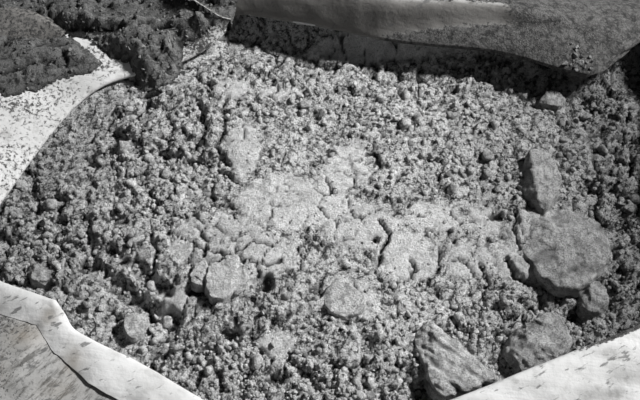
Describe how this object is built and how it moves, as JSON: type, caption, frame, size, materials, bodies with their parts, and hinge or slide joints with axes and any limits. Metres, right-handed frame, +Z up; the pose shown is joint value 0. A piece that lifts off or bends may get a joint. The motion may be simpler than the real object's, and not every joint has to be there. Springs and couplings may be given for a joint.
{
  "type": "open cement bag",
  "caption": "Paper sack of cement lying flat, slit open along its upper face with the lips folded back, full of loose grey powder and caked lumps.",
  "frame": {"origin": "on the floor, under the middle of the sack's box", "axes": "+X along the sack's length, towards the end whose paper stands highest over the cement; +Y towards the side whose paper hangs over the cement; +Z up"},
  "size_m": [0.6006, 0.3906, 0.1265],
  "materials": {
    "sack_paper": "dusty multi-ply sack paper, whiter on its inner face",
    "cement_powder": "loose dry grey cement powder with crumbs",
    "caked_cement": "caked, matt, powder-covered lumps"
  },
  "bodies": {
    "root": {"paper_sack": "sack_paper", "cement_fill": "cement_powder", "spilled_cement_left": "cement_powder", "spilled_cement_back": "cement_powder", "lump_oval": "caked_cement", "lump_broad": "caked_cement", "lump_front": "caked_cement", "lump_blunt": "caked_cement", "lump_smooth": "caked_cement", "lump_dark": "caked_cement", "lump_left": "caked_cement", "lump_back": "caked_cement", "lump_corner": "caked_cement", "plate_large": "caked_cement", "plate_small": "caked_cement"}
  },
  "joints": []
}
